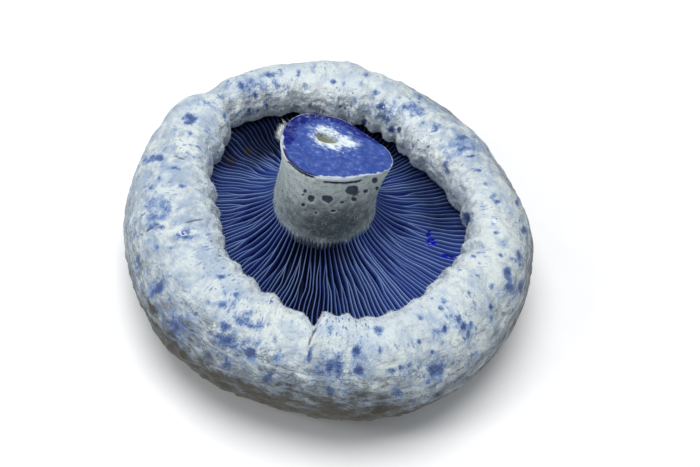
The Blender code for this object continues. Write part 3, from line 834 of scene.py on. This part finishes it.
def make_gills():
    """Gills: six columns to a blade, foot, shoulder, edge, shoulder, foot and the
    valley beside it, carried out from the stem to the margin. Every other blade
    reaches the stem. Each of the others runs inside a neighbour at first and forks
    off it further out."""
    rng = np.random.default_rng(41)
    number = np.arange(GILLS)
    long = number % 2 == 0
    start = FIRST_FORK + (LAST_FORK - FIRST_FORK) * rng.random(GILLS)
    step = 2 * np.pi / GILLS
    shift = 0.25 * (rng.random(GILLS) - 0.5)
    side = np.where(rng.random(GILLS) < 0.5, -1, 1)
    uneven = 2 * rng.random(GILLS) - 1
    beside = np.where(long, number, number + side)
    home = (number + shift) * step
    fork_home = (beside + shift[beside % GILLS]) * step
    out = np.linspace(0, 1, GILL_ROWS)[:, None]
    r = STEM_FOOT_RADIUS + GAP + (GILL_END_RADIUS - STEM_FOOT_RADIUS) * out
    past = np.where(long, 1.0, ease(r, start, start + FORK_LENGTH))
    middle = fork_home + (home - fork_home) * past
    flat = np.stack([r * np.cos(middle), r * np.sin(middle), 0 * r * home], -1)
    waver = 0.8 * cloud(flat, 11.0, 49) + 0.26 * clouds(flat, 4.5, 51, 2)
    waver = waver + 0.07 * cloud(flat + (0, 0, 7.7) * (beside % GILLS)[:, None], 2.5, 57)
    waver = waver * (1 + 0.5 * window(home % (2 * np.pi), 120, 232, 60))
    middle = middle + waver * np.sin(np.pi * np.clip(out, 0.03, 0.9)) ** 0.5 / r
    shown = np.where(long, 1.0, ease(r, start - 1.5, start + 0.3))
    room = 2 * np.pi * r / GILLS
    foot = np.clip(0.27 * room * np.where(long, 1 + 0.5 * ease(r, 17, 11), 0.6 + 0.4 * past), 0.11, 0.27) / r
    top = GILL_HALF_EDGE / r * np.where(long, 1.0, 0.7 + 0.3 * past) + 0 * middle
    next_middle = np.roll(middle, -1, axis=1) + np.where(number == GILLS - 1, 2 * np.pi, 0)
    columns = [middle - foot, middle - top, middle, middle + top, middle + foot, (middle + next_middle) / 2]
    theta = np.stack(columns, -1).reshape(GILL_ROWS, -1)
    crest = gill_edge_z(r) + 0.2 * cloud(flat, 3.5, 61) - np.where(long, 0, 0.15 * (1 - 0.7 * past))
    crest = crest + 0.14 * uneven
    deep = 1.8 + 1.6 * np.sin(np.pi * np.clip(out + 0.15, 0, 1))
    valley = gill_edge_z(r) - deep + 0 * crest
    raised = (crest - valley) * shown
    level = np.array([0.12, 0.95, 1.0, 0.95, 0.12, 0.0])
    z = (valley[..., None] + raised[..., None] * level).reshape(GILL_ROWS, -1)
    # How far up its blade each point stands; where this is low the valleys take near-black painted shade.
    edge = ((shown * (0.92 + 0.08 * uneven))[..., None] * level).reshape(GILL_ROWS, -1)
    inner_r = stem_foot_radius(theta) - 0.2 - HOLLOW_DEPTH * bell(theta, HOLLOW_ANGLE, HOLLOW_WIDTH)
    outer_r = cap_radius(theta) - ROLL_WALL - 4 * GAP
    turn = np.stack([np.cos(theta), np.sin(theta)], -1)
    inner = STEM_FOOT + inner_r[..., None] * turn
    outer = outer_r[..., None] * turn
    grid = np.concatenate([inner + (outer - inner) * out[..., None], z[..., None]], -1)
    ones = np.ones((theta.shape[1], 1))
    foot_ring = np.concatenate([outer[-1], (BED_Z + 2.2) * ones], -1)
    under_out = np.concatenate([outer[-1] * 0.93, (BED_Z + GAP) * ones], -1)
    under_in = np.concatenate([inner[0], (BED_Z + GAP) * ones], -1)
    rows = np.concatenate([grid, [0.4 * grid[-1] + 0.6 * foot_ring, foot_ring, under_out, under_in]])
    edge = np.concatenate([edge, np.zeros((4, theta.shape[1]))])
    x, y, _ = pixels(rows)
    latex = blots(x, y, GILL_WOUNDS)
    tan = blots(x, y, GILL_BRUISES)
    torn = ease(latex + 0.5 * clouds(rows, 1.2, 71), 0.6, 1.1)
    rows[..., 2] -= 0.8 * torn * edge
    # Painted shade on the gills under the back of the roll and in front of the stem.
    reach = np.hypot(rows[..., 0], rows[..., 1])
    turned = np.arctan2(rows[..., 1], rows[..., 0]) % (2 * np.pi)
    at_back = np.maximum(window(turned, 58, 152, 64), 0.55 * window(turned, 5, 60, 40))
    painted_gill_shade = ease(reach, 15.0, 23.0) * at_back
    from_stem = np.hypot(rows[..., 0] - STEM_FOOT[0], rows[..., 1] - STEM_FOOT[1]) - STEM_FOOT_RADIUS
    front = (0.42 + 0.33 * ease(from_stem, 5.0, 0.5)) * window(turned, 222, 318, 60)
    painted_gill_shade = np.maximum(painted_gill_shade, front)
    quads = ring_faces(*rows.shape[:2], closed_rows=True)[:, ::-1]
    fields = {"edge": edge, "latex": latex, "tan": tan, "painted_gill_shade": painted_gill_shade}
    fields = {key: values.ravel() for key, values in fields.items()}
    gills = make_mesh("gill_blades", rows.reshape(-1, 3), quads, np.zeros((0, 3), int), gill_finish(), fields)
    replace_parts(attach(gills, "root"), "gills")


def cut_z(xy):
    """Height of the slanting knife cut."""
    away = xy - CUT_MIDDLE
    return CUT_Z + CUT_SLOPE[0] * away[..., 0] + CUT_SLOPE[1] * away[..., 1]


def stem_grid():
    """Stem: rings from the foot to the rim of the cut, then over the cut face to the
    pith and down into its hollow. Also each ring's place: height share, then inwards."""
    theta = angles(STEM_COLUMNS)[None, :]
    turn = np.stack([np.cos(theta), np.sin(theta)], -1)
    foot = STEM_FOOT + stem_foot_radius(theta)[..., None] * turn
    rim = CUT_MIDDLE + CUT_RADIUS * around(CUT_OUTLINE, theta)[..., None] * turn
    pith = PITH_MIDDLE + PITH_RADII * (1 + 0.10 * np.sin(3 * theta + 1)[..., None]) * turn
    rim_z = cut_z(rim)
    buried = np.linspace(BED_Z + GAP, 16.0, 5)[:, None]
    low = np.concatenate([buried, np.linspace(16.3, FREE_STEM_Z, 18)[:, None]])
    low_rows = np.concatenate([foot + 0 * low[..., None], (low + 0 * theta)[..., None]], -1)
    up = np.linspace(0, 1, 66)[1:, None]
    waist = 1 - 0.02 * np.sin(np.pi * up)[..., None]
    side = (foot + (rim - foot) * up[..., None] - STEM_FOOT) * waist + STEM_FOOT
    side_z = FREE_STEM_Z + (rim_z - FREE_STEM_Z) * up
    side_rows = np.concatenate([side, side_z[..., None]], -1)
    inwards = (np.linspace(0, 1, 46)[1:, None]) ** 1.15
    face = rim + (pith - rim) * inwards[..., None]
    face_rows = np.concatenate([face, cut_z(face)[..., None]], -1)
    down = np.linspace(0, 1, 10)[1:, None]
    hole = PITH_MIDDLE + (pith - PITH_MIDDLE) * (1 - 0.75 * down**2)[..., None]
    hole_z = cut_z(hole) - PITH_DEPTH * np.sin(0.5 * np.pi * down) ** 0.8
    hole_rows = np.concatenate([hole, hole_z[..., None]], -1)
    grid = np.concatenate([low_rows, side_rows, face_rows, hole_rows])
    side_share = np.concatenate([0 * low, up, 1 + 0 * inwards, 1 + 0 * down]) + 0 * theta
    in_share = np.concatenate([0 * low, 0 * up, inwards, 1 + down]) + 0 * theta
    return grid, theta + 0 * side_share, side_share, in_share


def make_stem():
    """Stem: the rings raised by down and soft ribs, with teeth of down that run out
    over the gills at the foot, a rolled lip at the rim and slits under it, sunk and
    darkened with painted shade."""
    grid, theta, up, inwards = stem_grid()
    n = normals(grid)
    facing = n @ camera_axes()[2]
    z = grid[..., 2]
    on_side = (inwards == 0).astype(float)
    on_face = ease(inwards, 0.0, 0.01)
    below_rim = (cut_z(grid[..., :2]) - z) * on_side + 9 * (1 - on_side)
    ring = STEM_FOOT_RADIUS * np.stack([np.cos(theta), np.sin(theta), 0 * theta], -1)
    beat = 40 * theta + 2.8 * cloud(ring, 4.0, 81) + 1.2 * cloud(grid, 4.0, 82)
    teeth = np.abs(np.cos(beat)) ** 1.5 * np.clip(0.6 + 0.9 * cloud(ring, 1.1, 84), 0.1, 1.3)
    flare = ease(z, 19.4, 17.4) * on_side
    first = window(theta, 224, 254)
    second = window(theta, 262, 312, 12)
    sway = 0.3 * cloud(grid, 3.2, 83)
    # Slits under the lip: sunk, and near black with painted shade.
    slit = np.exp(-(((below_rim - 0.45) / 0.4) ** 2)) * first
    slit = (slit + np.exp(-(((below_rim - 1.45 - sway) / 0.44) ** 2)) * second) * on_side
    lip = ease(below_rim - sway, 1.2, 0.7) * np.maximum(second, 0.9 * window(theta, 176, 224)) * on_side
    lip = np.maximum(lip, 0.62 * ease(z, 18.8, 17.2) * teeth * on_side)
    pit = marks(grid, facing, STEM_PITS, 1.6, 0.3) * on_side
    felt = clouds(grid, 1.2, 91)
    rise = on_side * (0.16 * clouds(grid, 6.0, 87) + 0.08 * felt) - 0.25 * ease(pit, 0.4, 0.9)
    rise = rise + flare * (0.24 * teeth - 0.06) + 0.18 * lip * (1 + cloud(grid, 1.6, 85)) - 0.45 * slit
    hollow = HOLLOW_DEPTH * bell(theta, HOLLOW_ANGLE, HOLLOW_WIDTH)
    rise = rise - on_side * ease(up, 1.0, 0.55) * hollow
    rise = rise - on_side * np.sin(np.pi * up) * 0.4 * bell(theta, 350, 28)
    held = ease(z, 15.5, 16.5)
    grid = grid + n * (rise * held * on_side)[..., None]
    from_pith = np.linalg.norm((grid[..., :2] - PITH_MIDDLE) / PITH_RADII, axis=-1)
    at_left = ease(inwards, 0.66, 0.16) * window(theta, 124, 200, 30)
    at_back = ease(inwards, 0.38, 0.14) * window(theta, 52, 140, 24)
    at_right = 0.45 * ease(inwards, 0.25, 0.02) * window(theta, 10, 70)
    wet = on_face * np.maximum.reduce([at_left, at_back, at_right])
    bead = on_face * beads_at(grid, facing, CUT_BEADS)
    sag = 0.22 * clouds(grid, 3.2, 95) + 0.10 * cloud(grid, 0.9, 97)
    swell = wet * (0.20 * cloud(grid, 1.6, 99) + 0.05 * cloud(grid, 0.6, 103)) + 0.60 * bead
    grid[..., 2] += on_face * (inwards < 1) * (sag + swell) * ease(inwards, 0, 0.06)
    halo_reach = from_pith + 0.5 * clouds(grid, 2.4, 101) - 0.4 * bell(theta, 20, 50)
    halo_reach = halo_reach + 0.6 * bell(theta, 185, 60)
    halo = on_face * ease(halo_reach, 3.3, 1.0) * (inwards < 1.5)
    rind_width = 0.012 + 0.035 * window(theta, 256, 340) + 0.05 * window(theta, 184, 214)
    rind = on_face * ease(inwards, rind_width * 1.8, rind_width * 0.4) * (1 - 0.9 * window(theta, 60, 176))
    edge_latex = on_face * ease(inwards, 0.085, 0.04) * window(theta, 206, 256)
    pith = ease(inwards, 0.98, 1.35)
    # Painted shade over the front and lower part of the stem, less at the very foot.
    painted_stem_shade = ease(up, 1.0, 0.1) * (0.03 + 0.98 * bell(theta, 291, 57)) * on_side
    painted_stem_shade = painted_stem_shade * (1 - 0.50 * ease(z, 21.5, 18.0))
    fields = {"cut": on_face, "wet": wet, "halo": halo, "rind": rind, "pith": pith}
    fields |= {"pit": pit, "slit": slit, "lip": lip, "painted_stem_shade": painted_stem_shade, "edge_latex": edge_latex, "bead": bead}
    low = (*STEM_FOOT, BED_Z + GAP)
    high = (*PITH_MIDDLE, grid[-1, :, 2].mean())
    stem = ring_body("stem_flesh", grid, low, high, stem_finish(), fields)
    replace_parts(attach(stem, "root"), "stem")
    return (grid, n), on_side * held


def fibres(name, body, chance, count, stray, lean, lengths, thickness, material, slot, rng):
    """Loose fibres, each a slim three-sided cone on a point of the body drawn by its
    chance. It stands outwards, but for its stray and its lean, and is as long as the
    first length and some share of the second."""
    points, out = (part.reshape(-1, 3) for part in body)
    pick = rng.choice(len(points), count, p=chance / chance.sum())
    ways = out[pick] + stray * rng.normal(size=(count, 3)) + lean
    long = (lengths[0] + lengths[1] * rng.random(count))[:, None]
    ways = ways / np.linalg.norm(ways, axis=1, keepdims=True)
    side = np.cross(ways, rng.normal(size=(count, 3)))
    side = side / np.linalg.norm(side, axis=1, keepdims=True)
    other = np.cross(ways, side)
    turns = np.radians([0, 120, 240])[:, None, None]
    base = points[pick] + thickness * (np.cos(turns) * side + np.sin(turns) * other)
    tip = (points[pick] + ways * long)[None]
    corners = np.concatenate([base, tip]).transpose(1, 0, 2).reshape(-1, 3)
    first = np.arange(count)[:, None, None] * 4
    cone = np.array([[0, 1, 3], [1, 2, 3], [2, 0, 3], [0, 2, 1]])[None]
    triangles = (first + cone).reshape(-1, 3)
    piece = make_mesh(name, corners, np.zeros((0, 4), int), triangles, material)
    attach(piece, "root")


def make_down(stem, stem_free, cap, cap_inner):
    """Down on the stem, a torn tuft at the left of its rim, and cottony fibres
    along the cap's free edge."""
    rng = np.random.default_rng(5)
    grey = down_finish("grey_down", (0.42, 0.47, 0.47))
    white = down_finish("white_down", (0.84, 0.88, 0.88))
    points = stem[0].reshape(-1, 3)
    free = stem_free.ravel()
    chance = free * (points[:, 2] > 17) * (0.25 + 3.5 * ease(points[:, 2], 23, 18))
    stray = np.array([0.7, 0.7, 0.56])
    lean = (0, 0, -0.3)
    fibres("stem_down", stem, chance, STEM_FIBRES, stray, lean, (0.10, 0.25), 0.020, grey, "stem_skin", rng)
    theta = np.arctan2(points[:, 1] - CUT_MIDDLE[1], points[:, 0] - CUT_MIDDLE[0]) % (2 * np.pi)
    near_rim = np.exp(-(((cut_z(points[:, :2]) - points[:, 2] - 0.4) / 0.6) ** 2)) * free
    tuft = near_rim * bell(theta, 176, 9)
    fibres("rim_tuft", stem, tuft, RIM_FIBRES, 0.5, (0, 0, 0.5), (0.6, 1.3), 0.028, white, "stem_skin", rng)
    inner = cap_inner.ravel() ** 2
    fibres("margin_down", cap, inner, MARGIN_FIBRES, 0.6, 0, (0.12, 0.35), 0.025, white, "cap_skin", rng)


def make_floor():
    """Pale matt floor with a faint grain."""
    bpy.ops.mesh.primitive_plane_add(size=4.0, location=(0, 0, 0))
    floor = bpy.context.object
    floor.name = "floor"
    material, tree, shader, place = new_finish("pale_floor", 0.9)
    grained = coats(tree, (0.88,) * 3, [(1.0, (0.91,) * 3, noise(tree, place, 40), 0.3, 0.7)])
    join(tree, shader, {"Base Color": grained})
    floor.data.materials.append(material)


def make_light(name, place, aim, size, power):
    light = bpy.data.lights.new(name, "AREA")
    light.shape = "DISK"
    light.size = size
    light.energy = power
    lamp = bpy.data.objects.new(name, light)
    lamp.location = place
    lamp.rotation_euler = (Vector(aim) - Vector(place)).to_track_quat("-Z", "Y").to_euler()
    bpy.context.scene.collection.objects.link(lamp)


def make_lights():
    """One broad lamp overhead, a weak one from the left, and a pale sky."""
    make_light("overhead", (-0.12, 0.07, 0.79), (0, 0, 0.02), 0.6, 5.8)
    make_light("left_front", (-0.52, -0.28, 0.52), (0, 0, 0.02), 0.18, 1.0)
    world = bpy.data.worlds.new("sky")
    world.use_nodes = True
    background = world.node_tree.nodes["Background"]
    background.inputs["Color"].default_value = (0.93, 0.96, 1.0, 1.0)
    background.inputs["Strength"].default_value = 0.40
    bpy.context.scene.world = world


def make_camera():
    """Camera at the photograph's angle, rolled, with its lens from the fitted focus."""
    right, up, back = camera_axes()
    data = bpy.data.cameras.new("camera")
    data.sensor_width = SENSOR
    data.lens = FOCUS_PIXELS * SENSOR / FRAME_WIDTH
    data.shift_x = (FRAME_WIDTH / 2 - AIM_PIXEL[0]) / FRAME_WIDTH
    data.shift_y = (AIM_PIXEL[1] - FRAME_HEIGHT / 2) / FRAME_WIDTH
    data.clip_start = 0.01
    data.clip_end = 10.0
    camera = bpy.data.objects.new("camera", data)
    place = (AIM + GROWTH_POINT + back * DISTANCE) * MM
    turn = Matrix(np.stack([right, up, back], axis=1).tolist()).to_4x4()
    camera.matrix_world = Matrix.Translation(Vector(place)) @ turn
    bpy.context.scene.collection.objects.link(camera)
    bpy.context.scene.camera = camera


make_camera()
make_floor()
make_lights()
bpy.context.scene.view_settings.view_transform = "Standard"
cap_body, cap_inner = make_cap()
make_gills()
stem_body, stem_free = make_stem()
make_down(stem_body, stem_free, cap_body, cap_inner)
